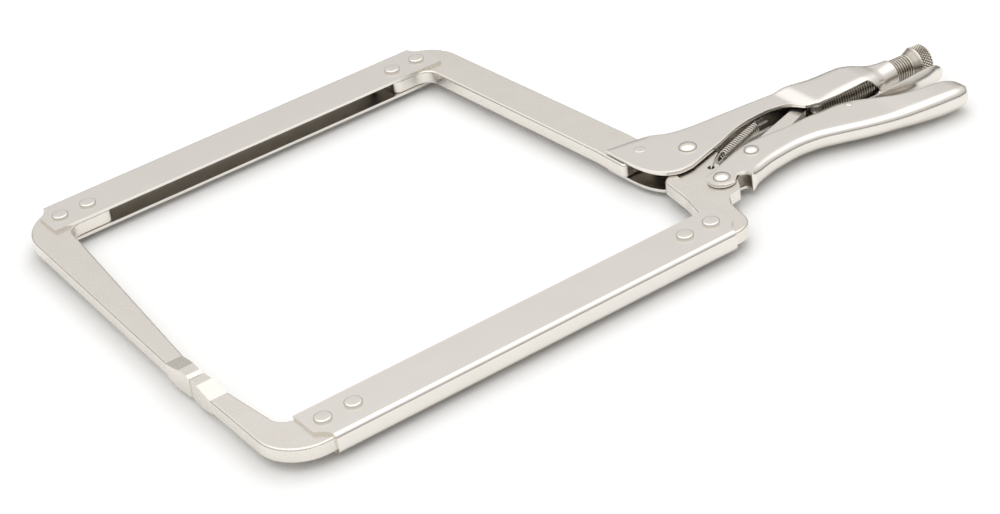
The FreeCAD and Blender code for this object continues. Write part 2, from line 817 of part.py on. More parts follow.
def make_toggle_link():
    """Plain link from the lever to the tip of the adjusting screw."""
    eye = point_of("link_pivot")
    toe = point_of("link_end")
    along = (toe - eye).normalize()
    across = vector(-along.y, along.x)
    big = size("link_eye")
    small = size("link_toe")
    corners = []
    for centre, radius, way, side in (
        (eye, big, -1, 1), (eye, big, -1, -1), (toe, small, 1, -1), (toe, small, 1, 1),
    ):
        corner = centre + along * (way * radius) + across * (side * radius)
        corners.append((corner.x, corner.y, 0.93 * radius))
    shape = plate(corners, lever_gap() - 2 * size("link_clearance"))
    shape = shape.cut(drum(eye, size("pivot_shank") + size("pivot_fit"), 40))
    return add_feature("toggle_link", shape)


def make_release_lever():
    """Arm inside the lever that ends in a wide thumb pad behind it."""
    pin = point_of("release_pin")
    thick = lever_gap() - 2 * size("release_clearance")
    eye = size("release_eye")
    metal = size("release_sheet")
    arm = plate([
        (pin.x + eye + 2, pin.y + eye - 0.4, 3.0),
        (pin.x - 12, pin.y + eye - 0.4, 3.0),
        (pin.x - 41, pin.y + 2.2, 1.8),
        (pin.x - 41, pin.y - 2.4, 2.2),
        (pin.x - 12, pin.y - eye - 1.2, 6.0),
        (pin.x + eye + 2, pin.y - eye - 1.2, 3.0),
    ], thick)
    far = pin.x + size("release_reach")
    strip = plate([
        (pin.x, pin.y + 1.6, 0),
        (pin.x + 14, pin.y + 1.2, 14.0),
        (pin.x + 34, pin.y - 4.6, 26.0),
        (far, pin.y - 2.6, 0),
        (far, pin.y - 2.6 - metal, 0),
        (pin.x + 34, pin.y - 4.6 - metal, 26.0 + metal),
        (pin.x + 14, pin.y + 1.2 - metal, 14.0 - metal),
        (pin.x, pin.y + 1.6 - metal, 0),
    ], 40)
    half = size("release_pad") / 2
    plan = rounded_wire([
        (pin.x - 1, -thick / 2, 0),
        (pin.x + 14, -thick / 2, 20.0),
        (pin.x + 34, -half, 14.0),
        (far, -half, half - 0.1),
        (far, half, half - 0.1),
        (pin.x + 34, half, 14.0),
        (pin.x + 14, thick / 2, 20.0),
        (pin.x - 1, thick / 2, 0),
    ])
    plan.rotate(vector(0, 0, 0), vector(1, 0, 0), 90)
    plan.translate(vector(0, pin.y + 30, 0))
    pad_shape = strip.common(Part.Face(plan).extrude(vector(0, -60, 0)))
    shape = arm.fuse(pad_shape)
    shape = shape.cut(drum(pin, size("release_pin_radius") + size("pivot_fit"), 40))
    return add_feature("release_lever", shape)


def make_screw():
    """Adjusting screw with its knurled head, turned about its own axis."""
    body = new_body("adjusting_screw")
    shoulder = "screw_length"
    rim = "screw_length + head_taper"
    end = "screw_length + head_taper + head_length"
    profile = outline_sketch(body, "screw_profile", "XY_Plane", [[
        ("0", "0"),
        ("0", "screw_tip"),
        ("screw_tip_length", "screw_radius"),
        (shoulder, "screw_radius"),
        (shoulder, "screw_radius + shoulder_rise"),
        (rim, "screw_radius + head_rise"),
        (end + " - head_chamfer", "screw_radius + head_rise"),
        (end, "screw_radius + head_rise - head_chamfer"),
        (end, "0"),
    ]])
    turned = body.newObject("PartDesign::Revolution", "screw_turned")
    turned.Profile = profile
    turned.ReferenceAxis = (profile, ["H_Axis"])
    turned.Angle = 360
    profile.Visibility = False
    body.Placement.Rotation = FreeCAD.Rotation(vector(0, 0, 1), -size("screw_turn"))
    body.setExpression("Placement.Base.x", bound(REAR + " + screw_start_x"))
    body.setExpression("Placement.Base.y", bound("screw_start_y"))
    doc.recompute()
    return body


def make_return_spring():
    """Envelope of the coil with a wire hook at each end, through the jaw plate and the handle's lug."""
    near = point_of("spring_near")
    far = point_of("spring_far")
    wire = size("spring_wire")
    axis = far - near
    shape = Part.makeCylinder(size("spring_coil"), axis.Length, near, axis)
    shape = shape.cut(Part.makeCylinder(size("spring_coil") - 2 * wire, axis.Length, near, axis))
    for coil_end, hole, step in (
        (near, point_of("spring_hole"), recess_thickness() / 2),
        (far, point_of("spring_tab"), size("spring_lug_sheet") / 2),
    ):
        side = size("spring_coil") - wire
        above = step + 2 * wire
        stops = [
            coil_end + vector(0, 0, side),
            hole + vector(0, 0, above),
            hole + vector(0, 0, -above),
        ]
        shape = shape.fuse(Part.makeSphere(wire, stops[0]))
        for start, stop in zip(stops, stops[1:]):
            run = stop - start
            shape = shape.fuse(Part.makeCylinder(wire, run.Length, start, run))
            shape = shape.fuse(Part.makeSphere(wire, stop))
    return add_feature("return_spring", shape)


def make_rivets():
    """Channel rivets in groups, the pivots, the flush rivet and the release pin."""
    row_rivet = make_rivet(
        "channel_rivet", "bar_thickness / 2 + channel_sheet",
        "rivet_shank", "rivet_head", "rivet_height", "rivet_round",
    )
    inset = size("rivet_inset")
    pitch = size("rivet_pitch")
    fixed_row = size("fixed_reach") - size("rivet_row")
    movable_row = size("rivet_row") - size("movable_reach") - size("jaw_gap")
    for arm, setback, row in (
        ("fixed", size("fixed_setback"), fixed_row), ("movable", size("movable_setback"), movable_row),
    ):
        end = setback + size("channel_length")
        front = [(setback + inset, row), (setback + inset + pitch, row)]
        rear = [(end - inset, row), (end - inset - pitch, row)]
        rivet_group(arm + "_front_rivets", row_rivet, front)
        rivet_group(arm + "_rear_rivets", row_rivet, rear)
    handle_grip = "bar_thickness / 2 + handle_clearance + handle_sheet"
    lever_grip = "bar_thickness / 2 - recess_step + lever_clearance + lever_sheet"
    for label, grip, shank, head, height, softness, place in (
        ("jaw_pivot_rivet", handle_grip, "pivot_shank", "jaw_pivot_head",
         "pivot_height", "pivot_round", "jaw_pivot"),
        ("lever_pivot_rivet", lever_grip, "pivot_shank", "lever_pivot_head",
         "pivot_height", "pivot_round", "lever_pivot"),
        ("link_rivet", lever_grip, "pivot_shank", "link_pivot_head",
         "pivot_height", "pivot_round", "link_pivot"),
        ("bar_lock_rivet", handle_grip, "rivet_shank", "rivet_shank + lock_lip",
         "lock_height", "lock_height / 2", "lock_rivet"),
        ("release_pin", lever_grip, "release_pin_radius", "release_pin_head",
         "release_pin_height", "release_pin_height / 2", "release_pin"),
    ):
        template = make_rivet(label + "_turned", grip, shank, head, height, softness)
        spot = point_of(place)
        rivet_group(label, template, [(spot.x, spot.y)])


make_channel("fixed_channel", "fixed_setback", "fixed_reach", 1)
make_channel("movable_channel", "movable_setback", MOVABLE_CENTRE, -1)
make_fixed_jaw()
make_movable_jaw()
make_rear_bar()
make_fixed_handle()
make_jaw_plate()
make_lever()
make_toggle_link()
make_release_lever()
make_screw()
make_return_spring()
make_rivets()

doc.recompute()
for thing in doc.Objects:
    if "Invalid" in thing.State or "Error" in thing.State:
        raise ValueError(thing.Label + " did not recompute")
for thing in finished:
    if thing.Shape.isNull() or not thing.Shape.isValid():
        raise ValueError(thing.Label + " has no valid shape")

os.makedirs("parts", exist_ok=True)
for thing in finished:
    thing.Shape.exportStep("parts/%s.step" % thing.Label)
    print(thing.Label, len(thing.Shape.Solids), round(thing.Shape.Volume, 1))
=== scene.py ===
import json
import math
import bmesh
import bpy
from mathutils import Matrix, Vector

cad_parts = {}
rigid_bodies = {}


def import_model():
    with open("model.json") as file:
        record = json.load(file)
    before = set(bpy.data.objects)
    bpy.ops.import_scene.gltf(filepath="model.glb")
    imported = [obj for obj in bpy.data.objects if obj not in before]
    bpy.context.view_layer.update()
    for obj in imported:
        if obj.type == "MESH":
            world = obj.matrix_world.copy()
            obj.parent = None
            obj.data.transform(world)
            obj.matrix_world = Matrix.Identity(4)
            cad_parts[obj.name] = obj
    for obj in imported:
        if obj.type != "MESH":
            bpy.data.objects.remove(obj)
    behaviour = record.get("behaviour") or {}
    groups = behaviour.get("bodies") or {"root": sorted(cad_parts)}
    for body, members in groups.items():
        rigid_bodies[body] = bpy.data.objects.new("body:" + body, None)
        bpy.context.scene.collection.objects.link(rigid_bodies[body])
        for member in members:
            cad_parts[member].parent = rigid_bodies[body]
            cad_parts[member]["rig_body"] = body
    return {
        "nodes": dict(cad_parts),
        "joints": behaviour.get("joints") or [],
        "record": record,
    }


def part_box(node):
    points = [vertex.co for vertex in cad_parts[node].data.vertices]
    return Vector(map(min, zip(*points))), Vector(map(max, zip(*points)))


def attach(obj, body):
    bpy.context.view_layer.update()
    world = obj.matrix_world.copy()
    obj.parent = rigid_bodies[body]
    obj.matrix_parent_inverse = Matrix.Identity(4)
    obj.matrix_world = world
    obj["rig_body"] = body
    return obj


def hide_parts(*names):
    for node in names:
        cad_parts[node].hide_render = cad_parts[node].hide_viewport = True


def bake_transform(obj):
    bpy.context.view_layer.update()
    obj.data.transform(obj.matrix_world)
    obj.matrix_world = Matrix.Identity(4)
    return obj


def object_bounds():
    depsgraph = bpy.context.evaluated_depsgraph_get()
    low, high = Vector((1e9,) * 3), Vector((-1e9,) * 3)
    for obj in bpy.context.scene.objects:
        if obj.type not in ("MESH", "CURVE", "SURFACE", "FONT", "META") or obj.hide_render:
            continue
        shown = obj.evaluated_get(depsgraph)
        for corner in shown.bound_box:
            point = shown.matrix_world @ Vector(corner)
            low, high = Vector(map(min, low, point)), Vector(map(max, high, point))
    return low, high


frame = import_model()
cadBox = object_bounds()
nodes = frame["nodes"]
pivotOf = {joint["name"]: Vector(joint["pos_m"]) for joint in frame["joints"] if "pos_m" in joint}
slideAlong = {joint["name"]: Vector(joint["axis"]) for joint in frame["joints"] if joint["type"] == "slide"}
mm = 0.001
print("frame loaded:", len(nodes), "nodes")


# colours and materials

def linearColour(hexCode):
    channels = [int(hexCode[i:i + 2], 16) / 255 for i in (1, 3, 5)]
    return [c / 12.92 if c <= 0.04045 else ((c + 0.055) / 1.055) ** 2.4 for c in channels] + [1]


def addNode(tree, kind, settings=None, values=None, links=None):
    node = tree.nodes.new(kind)
    for name, value in (settings or {}).items():
        setattr(node, name, value)
    for name, value in (values or {}).items():
        node.inputs[name].default_value = value
    for name, source in (links or {}).items():
        tree.links.new(source, node.inputs[name])
    return node


def newMaterial(name):
    material = bpy.data.materials.new(name)
    material.use_nodes = True
    material.node_tree.nodes.clear()
    return material, material.node_tree


def nickelPlate(name, look):
    material, tree = newMaterial(name)
    place = addNode(tree, "ShaderNodeTexCoord").outputs["Object"]
    # slow cloudiness of the plating bath
    cloud = addNode(tree, "ShaderNodeTexNoise",
                    values={"Scale": 1 / (look["cloudMm"] * mm), "Detail": 3.0, "Roughness": 0.55},
                    links={"Vector": place}).outputs["Fac"]
    # the rolled or blasted grain under the plate
    stretch = addNode(tree, "ShaderNodeMapping", values={"Scale": look["grainStretch"]}, links={"Vector": place})
    grain = addNode(tree, "ShaderNodeTexNoise",
                    values={"Scale": 1 / (look["grainMm"] * mm), "Detail": 4.0, "Roughness": 0.6},
                    links={"Vector": stretch.outputs["Vector"]}).outputs["Fac"]
    colour = addNode(tree, "ShaderNodeMix", {"data_type": "RGBA"},
                     {6: linearColour(look["dark"]), 7: linearColour(look["light"])}, {0: cloud}).outputs[2]
    # on cut threads and wire, painted shade: the hollows, found by pointiness, are darkened to a brown tint, and
    # the crests keep the plate colour
    if "hollow" in look:
        edges = addNode(tree, "ShaderNodeNewGeometry").outputs["Pointiness"]
        hollowShadeMask = addNode(tree, "ShaderNodeMapRange",
                       values={"From Min": 0.475, "From Max": 0.525, "To Min": 0.0, "To Max": 1.0},
                       links={"Value": edges}).outputs["Result"]
        # painted shade: the brown colour is mixed into the hollows
        colour = addNode(tree, "ShaderNodeMix", {"data_type": "RGBA"}, {6: linearColour(look["hollow"])},
                         {0: hollowShadeMask, 7: colour}).outputs[2]
    low, high = look["roughness"]
    rough = addNode(tree, "ShaderNodeMapRange",
                    values={"From Min": 0.3, "From Max": 0.7, "To Min": low, "To Max": high},
                    links={"Value": grain}).outputs["Result"]
    bump = addNode(tree, "ShaderNodeBump",
                   values={"Strength": look["bump"], "Distance": look["bumpMm"] * mm},
                   links={"Height": grain}).outputs["Normal"]
    shader = addNode(tree, "ShaderNodeBsdfPrincipled",
                     values={"Metallic": 1.0},
                     links={"Base Color": colour, "Roughness": rough, "Normal": bump})
    addNode(tree, "ShaderNodeOutputMaterial", links={"Surface": shader.outputs["BSDF"]})
    return material


finishes = {
    "plated_sheet": {
        "name": "satinNickelRolledSheet", "light": "#EFEBE5", "dark": "#E9E4DD",
        "cloudMm": 22, "grainMm": 0.9, "grainStretch": (0.25, 1, 1), "roughness": (0.21, 0.26),
        "bump": 0.05, "bumpMm": 0.004},
    "plated_forging": {
        "name": "satinNickelForgedSteel", "light": "#EEEAE3", "dark": "#E6E0D8",
        "cloudMm": 14, "grainMm": 1.3, "grainStretch": (1, 1, 1), "roughness": (0.21, 0.29),
        "bump": 0.08, "bumpMm": 0.005},
    "plated_rivet": {
        "name": "satinNickelPressedRivet", "light": "#F0ECE6", "dark": "#E7E2DA",
        "cloudMm": 5, "grainMm": 0.5, "grainStretch": (1, 1, 1), "roughness": (0.17, 0.24),
        "bump": 0.10, "bumpMm": 0.004},
    "plated_screw": {
        # hollow: painted shade colour laid into the thread hollows
        "name": "brightNickelCutThread", "light": "#E4DED4", "dark": "#D8D1C6", "hollow": "#6E655A",
        "cloudMm": 6, "grainMm": 0.4, "grainStretch": (1, 1, 1), "roughness": (0.18, 0.27),
        "bump": 0.10, "bumpMm": 0.004},
    "spring_wire": {
        # hollow: painted shade colour laid into the hollows between the coils
        "name": "brightSpringWire", "light": "#E0DBD3", "dark": "#D2CCC3", "hollow": "#6A6259",
        "cloudMm": 3, "grainMm": 0.3, "grainStretch": (1, 1, 1), "roughness": (0.14, 0.20),
        "bump": 0.10, "bumpMm": 0.003},
}
materials = {slot: nickelPlate(look["name"], look) for slot, look in finishes.items()}
slotOf = {entry["node"]: entry["material_slot"] for entry in frame["record"]["subparts"]}
print("materials:", len(materials))


# mesh helpers; lengths are in millimetres until the mesh is made

def smoothCurve(points):
    xs = [p[0] for p in points]
    ys = [p[1] for p in points]
    runs = [b - a for a, b in zip(xs, xs[1:])]
    rises = [(d - c) / run for c, d, run in zip(ys, ys[1:], runs)]
    slopes = [rises[0]]
    for i in range(1, len(runs)):
        if rises[i - 1] * rises[i] <= 0:
            slopes.append(0.0)
        else:
            w1 = 2 * runs[i] + runs[i - 1]
            w2 = runs[i] + 2 * runs[i - 1]
            slopes.append((w1 + w2) / (w1 / rises[i - 1] + w2 / rises[i]))
    slopes.append(rises[-1])

    def curve(x):
        if x <= xs[0]:
            return ys[0]
        if x >= xs[-1]:
            return ys[-1]
        i = max(j for j in range(len(runs)) if xs[j] <= x)
        t = (x - xs[i]) / runs[i]
        return ((1 + 2 * t) * (1 - t) ** 2 * ys[i] + t * (1 - t) ** 2 * runs[i] * slopes[i]
                + t * t * (3 - 2 * t) * ys[i + 1] + t * t * (t - 1) * runs[i] * slopes[i + 1])
    return curve


def spread(start, stop, count):
    return [start + (stop - start) * i / (count - 1) for i in range(count)]


def meshPiece(name, points, faces, sharpAngle=35):
    mesh = bpy.data.meshes.new(name)
    mesh.from_pydata([Vector(p) * mm for p in points], [], faces)
    shape = bmesh.new()
    shape.from_mesh(mesh)
    bmesh.ops.remove_doubles(shape, verts=shape.verts, dist=0.002 * mm)
    bmesh.ops.dissolve_degenerate(shape, edges=shape.edges, dist=0.001 * mm)
    bmesh.ops.recalc_face_normals(shape, faces=shape.faces)
    shape.to_mesh(mesh)
    shape.free()
    piece = bpy.data.objects.new(name, mesh)
    bpy.context.scene.collection.objects.link(piece)
    smoothShade(piece, sharpAngle)
    return piece


def smoothShade(piece, sharpAngle):
    piece.data.shade_smooth()
    piece.data.set_sharp_from_angle(angle=math.radians(sharpAngle))


def applyModifiers(piece):
    evaluated = piece.evaluated_get(bpy.context.evaluated_depsgraph_get())
    mesh = bpy.data.meshes.new_from_object(evaluated)
    piece.modifiers.clear()
    piece.data = mesh


def bevelEdges(piece, widthMm, segments=3, angle=35):
    bevel = piece.modifiers.new("bevel", "BEVEL")
    bevel.width = widthMm * mm
    bevel.segments = segments
    bevel.limit_method = "ANGLE"
    bevel.angle_limit = math.radians(angle)
    applyModifiers(piece)


def flatFacesStayFlat(piece, creaseReachMm=0):  # the large faces lead the shading, so only the rounds shade
    smoothShade(piece, 180)
    mesh = piece.data
    planes = {}
    keys = []
    around = [[] for vertex in mesh.vertices]
    for face in mesh.polygons:
        key = tuple(round(part, 3) for part in face.normal) + (round(face.normal.dot(face.center) / mm, 2),)
        planes[key] = planes.get(key, 0) + face.area
        keys.append(key)
        for index in face.vertices:
            around[index].append(face.index)
    normals = []
    wide, narrow = math.cos(math.radians(60)), math.cos(math.radians(5))
    for face in mesh.polygons:
        limit = narrow if abs(face.center.y) < creaseReachMm * mm else wide
        for index in face.vertices:
            total = Vector((0, 0, 0))
            for other in around[index]:
                normal = mesh.polygons[other].normal
                if normal.dot(face.normal) >= limit:
                    total += normal * (planes[keys[other]] / mm ** 2) ** 2
            normals.append(total.normalized() if total.length > 0 else face.normal)
    mesh.normals_split_custom_set(normals)


def standFor(piece, node, rides=True):  # the piece takes the place, body and finish of its solid
    piece.data.materials.clear()
    piece.data.materials.append(materials[slotOf[node]])
    if rides:
        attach(piece, nodes[node]["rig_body"])
    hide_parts(node)
    return piece


def ringFaces(rings, around, closed=True):
    faces = []
    for i in range(rings - 1):
        for j in range(around if closed else around - 1):
            k = (j + 1) % around
            faces.append((i * around + j, i * around + k, (i + 1) * around + k, (i + 1) * around + j))
    return faces


# bars, channels and plates keep their solid's shape, with eased edges

easedEdges = {
    "fixed_channel": 0.28,
    "movable_channel": 0.28,
    "fixed_jaw": 0.35,
    "movable_jaw": 0.35,
    "fixed_rear_bar": 0.3,
    "movable_jaw_plate": 0.22,
    "toggle_link": 0.4,
}
tipCreases = {"fixed_jaw": 26, "movable_jaw": 26}  # how far from the jaw faces the forged facets stay crisp


def easedCopy(node, widthMm):
    piece = bpy.data.objects.new(node + "_eased", nodes[node].data.copy())
    bpy.context.scene.collection.objects.link(piece)
    shape = bmesh.new()
    shape.from_mesh(piece.data)
    bmesh.ops.remove_doubles(shape, verts=shape.verts, dist=0.002 * mm)
    bmesh.ops.dissolve_limit(shape, angle_limit=math.radians(0.6), verts=shape.verts, edges=shape.edges)
    shape.to_mesh(piece.data)
    shape.free()
    bevelEdges(piece, widthMm, angle=30)
    flatFacesStayFlat(piece, tipCreases.get(node, 0))
    return standFor(piece, node)


for nodeName, edgeWidth in easedEdges.items():
    easedCopy(nodeName, edgeWidth)
print("eased pieces:", len(easedEdges))


# handle and lever: folded sheet, drawn as sections across X from one lip over the fold to the other

def foldedRow(x, lip, low, high, half, keel, crown, closing, counts):
    sideStart, sideEnd = low + keel, high - crown
    flat = half - keel
    turn = keel * math.pi / 2
    if lip <= sideStart:
        start = flat + keel * math.acos(max(-1.0, min(1.0, 1 - (lip - low) / keel)))
    else:
        start = flat + turn + lip - sideStart
    start *= closing
    stop = flat + turn + sideEnd - sideStart
    path = []
    for s in spread(start, stop, counts["side"]):
        if s < flat:
            path.append((low, s))
        elif s < flat + turn:
            angle = (s - flat) / keel
            path.append((low + keel - keel * math.cos(angle), flat + keel * math.sin(angle)))
        else:
            path.append((sideStart + s - flat - turn, half))
    for angle in spread(0, math.pi / 2, counts["crown"])[1:]:
        path.append((sideEnd + crown * math.sin(angle), half - crown + crown * math.cos(angle)))
    for z in spread(half - crown, 0, counts["flat"])[1:]:
        path.append((high, z))
    return [(x, y, z) for y, z in path] + [(x, y, -z) for y, z in reversed(path[:-1])]


def foldedSheet(name, shape, centre, up):
    curves = {key: smoothCurve(shape[key]) for key in ("fold", "lip", "low", "half", "keel", "crown", "closing")}
    counts = shape["counts"]
    rows = []
    for x in shape["stations"]:
        fold, lip = curves["fold"](x), curves["lip"](x)
        row = foldedRow(x, lip, curves["low"](x), fold, curves["half"](x), curves["keel"](x),
                        min(curves["crown"](x), max(fold - lip, 0.3) - 0.1), curves["closing"](x), counts)
        rows.append([(centre.x + px, centre.y + up * py, pz) for px, py, pz in row])
    around = len(rows[0])
    sideFaces = counts["side"] - 1
    faces = []
    for i, x in enumerate(shape["stations"][1:]):
        for j in range(around - 1):
            onSide = j < sideFaces or j >= around - 1 - sideFaces
            if onSide or x > shape["foldStart"]:
                a = i * around + j
                faces.append((a, a + 1, a + 1 + around, a + around))
    piece = meshPiece(name, [p for row in rows for p in row], faces)
    outward = sum(f.normal.z for f in piece.data.polygons if f.center.z > (shape["outer"] - 0.3) * mm)
    if outward < 0:
        piece.data.flip_normals()
    thickness = piece.modifiers.new("sheet", "SOLIDIFY")
    thickness.thickness = shape["sheet"] * mm
    thickness.offset = -1
    thickness.use_even_offset = True
    if "thinFrom" in shape:
        group = piece.vertex_groups.new(name="thick")
        first, last, least = shape["thinFrom"]
        for vertex in piece.data.vertices:
            share = (vertex.co.x / mm - centre.x - first) / (last - first)
            group.add([vertex.index], 1 - (1 - least) * max(0.0, min(1.0, share)), "REPLACE")
        thickness.vertex_group = "thick"
    applyModifiers(piece)
    bevelEdges(piece, shape["edge"], segments=2, angle=50)
    smoothShade(piece, 40)
    return piece


jawPivot = pivotOf["jaw_swing"] / mm
leverPivot = pivotOf["lever_swing"] / mm

handle = {  # offsets from the jaw pivot
    "fold": [(-31.4, 30.2), (-6.4, 25.2), (1.6, 21.6), (15.6, 18.0), (34.6, 16.0), (50.6, 14.4), (66.6, 12.5),
             (77.6, 11.2), (90.6, 9.4), (105.6, 8.0), (112.0, 5.9), (118.0, 1.6), (122.0, -1.4), (126.0, -3.1),
             (131.4, -4.2)],
    "lip": [(-31.4, 29.6), (-31.1, 17.0), (-30.3, 4.0), (-28.2, -5.0), (-25.2, -10.6), (-21.0, -14.2),
            (-16.0, -16.0), (-11.0, -16.1), (-5.0, -14.6), (4.0, -11.9), (15.6, -8.4), (26.0, -4.6), (35.6, -2.0),
            (44.0, -0.9), (52.0, -0.7), (60.0, -2.0), (65.0, -4.0), (67.4, -6.6), (68.6, -9.8), (69.8, -13.2),
            (72.5, -16.6), (76.5, -18.7), (114.0, -18.7)],
    "half": [(-31.4, 6.1), (66.6, 6.1), (76.6, 8.8), (90.6, 9.0), (108.0, 9.0), (116.0, 8.3), (121.5, 7.5),
             (125.0, 7.6), (131.4, 7.9)],
    "keel": [(-31.4, 3.0), (66.6, 3.0), (77.6, 6.0), (90.6, 8.2), (116.0, 7.8), (121.5, 7.3), (131.4, 7.8)],
    "crown": [(-31.4, 0.2), (-6.4, 0.3), (4.0, 2.6), (66.6, 3.0), (77.6, 6.0), (90.6, 8.2), (116.0, 7.8),
              (121.5, 7.3), (131.4, 7.8)],
    "closing": [(-31.4, 1.0), (110.0, 1.0), (117.0, 0.0), (131.4, 0.0)],
    "low": [(-31.4, -22.3), (108.0, -22.3), (116.0, -21.8), (122.0, -20.5), (131.4, -20.0)],
    "foldStart": -6.4,
    "stations": spread(-31.4, -30, 8) + spread(-29.6, -24, 8) + spread(-23, 62, 62) + spread(62.8, 74, 22)
                + spread(75.2, 104, 20) + spread(105, 131.4, 36),
    "counts": {"side": 14, "crown": 8, "flat": 4},
    "outer": 6.1,
    "sheet": 1.8,
    "thinFrom": (110.0, 122.0, 0.5),
    "edge": 0.3,
}


springLug = {
    "width": 7.0, "sheet": 1.6, "below": 3.5, "above": 9.0, "hole": 1.3, "edge": 0.3,
    "inset": 0.8,  # from the spring's far end to the middle of the hole
    "height": -6.9,
    "steps": 32,
}


def lugPiece():
    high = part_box("return_spring")[1]
    centre = Vector((high.x / mm - springLug["inset"], springLug["height"], 0))
    half = springLug["width"] / 2
    steps = springLug["steps"]
    inner, outer = [], []
    for i in range(steps):
        turn = 2 * math.pi * (i + 0.5) / steps
        way = Vector((math.cos(turn), math.sin(turn)))
        reach = min(
            half / max(abs(way.x), 1e-6),
            (springLug["above"] if way.y > 0 else springLug["below"]) / max(abs(way.y), 1e-6))
        inner.append(way * springLug["hole"])
        outer.append(way * reach)
    points = []
    for z in (-springLug["sheet"] / 2, springLug["sheet"] / 2):
        for ring in (inner, outer):
            points += [(centre.x + p.x, centre.y + p.y, z) for p in ring]
    faces = []
    for j in range(steps):
        k = (j + 1) % steps
        for a, b in ((0, 1), (1, 3), (3, 2), (2, 0)):
            faces.append((a * steps + j, a * steps + k, b * steps + k, b * steps + j))
    piece = meshPiece("spring_lug", points, faces)
    bevelEdges(piece, springLug["edge"], segments=2)
    return piece


def joined(first, *others):
    shape = bmesh.new()
    for piece in (first, *others):
        shape.from_mesh(piece.data)
    shape.to_mesh(first.data)
    shape.free()
    for piece in others:
        bpy.data.objects.remove(piece)
    return first


handlePiece = joined(foldedSheet("handle_folded", handle, jawPivot, 1), lugPiece())
smoothShade(handlePiece, 40)
standFor(handlePiece, "fixed_handle")

lever = {  # offsets from the lever pivot, measured upside down: the fold is the web on the outer side
    "fold": [(-7.8, 0.05), (-7.5, 2.1), (-6.6, 4.15), (-4.7, 6.2), (-2.4, 7.4), (0.0, 7.8), (2.4, 7.4), (4.7, 6.2),
             (6.5, 4.5), (9.0, 3.9), (11.5, 4.2), (12.9, 5.6), (13.0, 8.6), (14.5, 8.9), (19.0, 7.4), (36.0, 3.4),
             (51.0, 2.4), (63.0, 4.0), (75.0, 8.5), (88.0, 14.0), (102.0, 18.8), (121.0, 23.8), (136.0, 26.4),
             (143.0, 26.9), (147.5, 26.3), (150.5, 24.3), (152.3, 21.4)],
    "lip": [(-7.8, -0.05), (-7.5, -2.1), (-6.6, -4.15), (-4.7, -6.2), (-2.4, -7.4), (0.0, -7.8), (11.0, -11.8),
            (26.0, -15.9), (33.4, -17.2), (44.6, -16.3), (58.7, -14.8), (76.7, -14.6), (86.0, -14.0),
            (92.7, -12.4), (99.5, -9.6), (105.4, -5.8), (113.1, 0.4), (119.3, 4.8), (130.0, 9.0), (138.3, 10.6),
            (145.7, 12.6), (149.5, 15.2), (151.5, 18.0), (152.3, 20.6)],
    "low": [(-7.8, -60.0), (152.3, -60.0)],
    "half": [(-7.8, 5.2), (102.0, 5.2), (121.0, 6.1), (134.0, 6.5), (142.0, 6.3), (147.0, 5.7), (150.5, 4.6),
             (152.3, 3.1)],
    "keel": [(-7.8, 3.0), (152.3, 2.9)],
    "crown": [(-7.8, 0.1), (13.0, 0.3), (16.0, 3.0), (22.0, 3.9), (88.0, 4.0), (121.0, 4.8), (143.0, 5.0),
              (148.0, 4.4), (150.5, 3.7), (152.3, 2.8)],
    "closing": [(-7.8, 1.0), (152.3, 1.0)],
    "foldStart": 13.05,
    "stations": spread(-7.8, -6.6, 6) + spread(-6.2, 6.2, 22) + spread(6.5, 12.9, 9) + [13.0, 13.1]
                + spread(13.6, 16, 6) + spread(17, 140, 84) + spread(141, 152.3, 24),
    "counts": {"side": 10, "crown": 8, "flat": 4},
    "outer": 5.2,
    "sheet": 1.7,
    "edge": 0.3,
}
standFor(foldedSheet("lever_folded", lever, leverPivot, -1), "lever")
print("folded sheet: handle and lever")


# release lever: flat arm inside the lever, twisted sheet neck and a spoon-shaped thumb pad

release = {  # offsets from the release pivot
    "arm": [(-41.0, -2.4), (-41.0, 2.0), (-12.0, 3.6), (6.0, 3.6), (6.0, -4.2), (-12.0, -5.2)],
    "armHalf": 2.8,
    "line": [(0.0, 0.4), (14.0, 0.2), (24.0, -2.6), (34.0, -5.2), (44.0, -6.2), (54.0, -5.6), (63.9, -3.4)],
    "half": [(0.0, 2.8), (16.0, 2.9), (26.0, 4.6), (34.0, 6.0), (44.0, 6.5), (54.0, 6.3), (59.0, 5.4), (62.0, 3.9),
             (63.4, 2.2), (63.9, 0.6)],
    "dish": [(0.0, 0.0), (20.0, 0.3), (34.0, 1.8), (48.0, 2.6), (60.0, 1.8), (63.9, 0.2)],
    "stations": spread(0, 56, 44) + spread(57, 63.9, 18),
    "across": 17,
    "sheet": 1.6,
    "edge": 0.45,
    "armEdge": 0.8,
}


def releasePiece(centre):
    curves = {key: smoothCurve(release[key]) for key in ("line", "half", "dish")}
    points = []
    for x in release["stations"]:
        line, half, dish = (curves[key](x) for key in ("line", "half", "dish"))
        for share in spread(-1, 1, release["across"]):
            points.append((centre.x + x, centre.y + line + dish * share ** 2, half * share))
    pad = meshPiece("release_pad", points, ringFaces(len(release["stations"]), release["across"], closed=False), 60)
    sheet = pad.modifiers.new("sheet", "SOLIDIFY")
    sheet.thickness = release["sheet"] * mm
    sheet.offset = 0
    sheet.use_even_offset = True
    applyModifiers(pad)
    bevelEdges(pad, release["edge"], segments=3, angle=60)
    smoothShade(pad, 60)
    corners = [(centre.x + x, centre.y + y) for x, y in release["arm"]]
    count = len(corners)
    rims = [(x, y, side * release["armHalf"]) for side in (-1, 1) for x, y in corners]
    walls = [(i, (i + 1) % count, (i + 1) % count + count, i + count) for i in range(count)]
    arm = meshPiece("release_arm", rims, walls + [tuple(range(count)), tuple(range(count, 2 * count))])
    bevelEdges(arm, release["armEdge"], segments=4, angle=50)
    smoothShade(arm, 40)
    return joined(pad, arm)


standFor(releasePiece(pivotOf["release_press"] / mm), "release_lever")
print("release lever made")


# turned pieces

